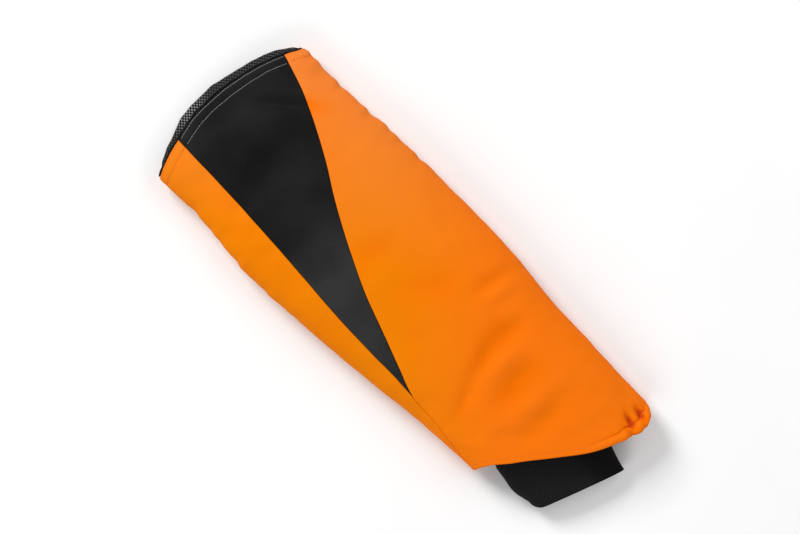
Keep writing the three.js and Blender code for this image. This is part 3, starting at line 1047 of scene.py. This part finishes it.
stitching = {
    "length": 2.6,
    "pitch": 2.75,
    "radius": 0.22,
    "sides": 6,
    "cuts": (-0.5, 0.5),  # where a stitch bends, its ends being at -1 and 1
    "endShare": 0.9,
    "sink": -0.16,  # of its ends
    "lift": 0.12,
    "first": 0.4,
    "seamGap": 1.2,
    "wander": 0.16,
    "stretch": 0.5,
    "samples": 4001,
    "grey": [(0.35, (0.17, 0.17, 0.17)), (0.65, (0.31, 0.31, 0.30))],
    "tonal": [(0.35, (0.76, 0.165, 0.002)), (0.65, (0.86, 0.20, 0.003))],
    "twist": (2500.0, 2.0),  # scale, detail
    "specular": 0.3,
    "roughness": 0.55,
    "bump": (0.4, 0.0001),
}


def threadMaterial(name, tones):
    material, tree, shader, place = newMaterial(name, stitching["specular"])
    twist = noiseNode(tree, place, *stitching["twist"])
    dress(tree, shader, rampNode(tree, twist, tones), stitching["roughness"], twist, *stitching["bump"])
    return material


def oneStitch():
    # points and faces of a short thread along X
    lying = (0, math.pi / 2, 0)
    bpy.ops.mesh.primitive_cylinder_add(vertices=stitching["sides"], radius=1, depth=2, rotation=lying)
    stitch = bpy.context.object
    bpy.ops.object.transform_apply(location=True, rotation=True, scale=True)
    bpy.ops.object.mode_set(mode="EDIT")
    for place in stitching["cuts"]:
        bpy.ops.mesh.select_all(action="SELECT")
        bpy.ops.mesh.bisect(plane_co=(place, 0, 0), plane_no=(1, 0, 0))
    bpy.ops.object.mode_set(mode="OBJECT")
    shape = np.array([vertex.co for vertex in stitch.data.vertices])
    faces = [list(face.vertices) for face in stitch.data.polygons]
    bpy.data.objects.remove(stitch)
    return shape, faces


def rowPath(fromLine, toLine, rim, away):
    # x, share of the girth and length so far along a row of stitches
    g = np.linspace(0, 1, stitching["samples"])
    x = rimAt(rim, g) + (away if rim == "elbow" else -away)
    if rim == "wrist":
        x -= hems["wristRowMore"] * wristHem(x, g)[0]
    x += stitching["wander"] * ripple(g * girthAt(x) * stitching["stretch"], away)
    gap = stitching["seamGap"] / girthAt(x)
    keep = (g > lineAt(fromLine, x) + gap) & (g < lineAt(toLine, x) - gap)
    x, g = x[keep], g[keep]
    steps = np.linalg.norm(np.diff(onSleeve(x, g, 0 * x), axis=0), axis=-1)
    return x, g, np.concatenate([[0], np.cumsum(steps)])


def sewRows(name, rows, material):
    # copies of one stitch along rows of the sleeve: from line, to line, rim, distance from the rim
    shape, faces = oneStitch()
    length, radius = stitching["length"], stitching["radius"]
    ends = abs(shape[:, 0]) > stitching["endShare"]
    up = shape[:, 2] * radius + np.where(ends, stitching["sink"], stitching["lift"])
    far = np.full(len(shape), grids["far"])
    points, allFaces = [], []
    for row in rows:
        rowX, rowG, run = rowPath(*row)
        for start in np.arange(stitching["first"], run[-1] - length, stitching["pitch"]):
            at = start + length / 2 + shape[:, 0] * length / 2
            g = np.interp(at, run, rowG)
            x = np.interp(at, run, rowX) + shape[:, 1] * radius
            grid = {"x": x, "g": g, "fromFirst": far, "fromLast": far}
            grid.update(fromElbow=x - rimAt("elbow", g), fromWrist=rimAt("wrist", g) - x)
            allFaces += [[k + len(shape) * len(points) for k in face] for face in faces]
            points.append(onSleeve(x, g, hemDepth(grid) - up))
    piece = newPiece(name, np.concatenate(points), allFaces)
    turnOutward(piece)
    addPiece(piece, None, material)


onOrange = (("closing", "fastSeam"), ("slowSeam", "closed"))
greyRows = [("fastSeam", "slowSeam", "elbow", away) for away in hems["elbowRows"]]
orangeRows = [(*lines, "elbow", away) for away in hems["elbowRows"] for lines in onOrange]
orangeRows += [(*lines, "wrist", hems["wristRow"]) for lines in onOrange]
sewRows("greyStitches", greyRows, threadMaterial("greyThread", stitching["grey"]))
sewRows("orangeStitches", orangeRows, threadMaterial("orangeThread", stitching["tonal"]))

view = {
    "turn": 44.7,  # degrees, the sleeve's slant in the picture
    "aim": (-0.0169, 0.0092),
    "height": 2.015,
    "widthSeen": 0.68,
    "atHeight": 0.015,
    "sensor": 36.0,
}


def makeCamera():
    camera = bpy.data.cameras.new("overheadCamera")
    camera.sensor_width = view["sensor"]
    camera.lens = view["sensor"] * (view["height"] - view["atHeight"]) / view["widthSeen"]
    cameraObject = bpy.data.objects.new("overheadCamera", camera)
    cameraObject.location = (*view["aim"], view["height"])
    cameraObject.rotation_euler = (0, 0, math.radians(view["turn"]))
    bpy.context.scene.collection.objects.link(cameraObject)
    bpy.context.scene.camera = cameraObject


stage = {
    "size": 6,
    "drop": 0.0002,
    "tones": [(0.3, (0.87, 0.87, 0.87)), (0.7, (0.9, 0.9, 0.9))],
    "blotches": (6.0, 2.0),  # scale, detail
    "specular": 0.1,
    "roughness": 0.9,
    "world": 0.36,  # strength of the even light from all round
}
lights = {  # size, power, place
    "keyLight": (1.5, 114, (-3.0, 0.2, 2.3)),
    "fillLight": (2.0, 22, (0.5, 1.9, 1.9)),
    "sideLight": (1.6, 24, (0.6, -2.2, 1.5)),
}


def makeFloor():
    bpy.ops.mesh.primitive_plane_add(size=stage["size"], location=(0, 0, -stage["drop"]))
    floor = bpy.context.object
    floor.name = "paleFloor"
    bpy.ops.object.transform_apply(location=True, rotation=True, scale=True)
    material, tree, shader, place = newMaterial("paleFloor", stage["specular"])
    tone = rampNode(tree, noiseNode(tree, place, *stage["blotches"]), stage["tones"])
    tree.links.new(tone, shader.inputs["Base Color"])
    shader.inputs["Roughness"].default_value = stage["roughness"]
    floor.data.materials.append(material)
    bpy.ops.object.select_all(action="DESELECT")


def makeLights():
    world = bpy.data.worlds.new("studio")
    world.use_nodes = True
    background = world.node_tree.nodes["Background"]
    background.inputs["Color"].default_value = (1, 1, 1, 1)
    background.inputs["Strength"].default_value = stage["world"]
    bpy.context.scene.world = world
    for name, (size, power, place) in lights.items():
        bpy.ops.object.light_add(type="AREA", location=place)
        light = bpy.context.object
        light.name = name
        light.data.shape = "SQUARE"
        light.data.size = size
        light.data.energy = power
        light.rotation_euler = (-light.location).to_track_quat("-Z", "Y").to_euler()
    bpy.context.scene.view_settings.view_transform = "Standard"


makeCamera()
makeFloor()
makeLights()
print("stage set")
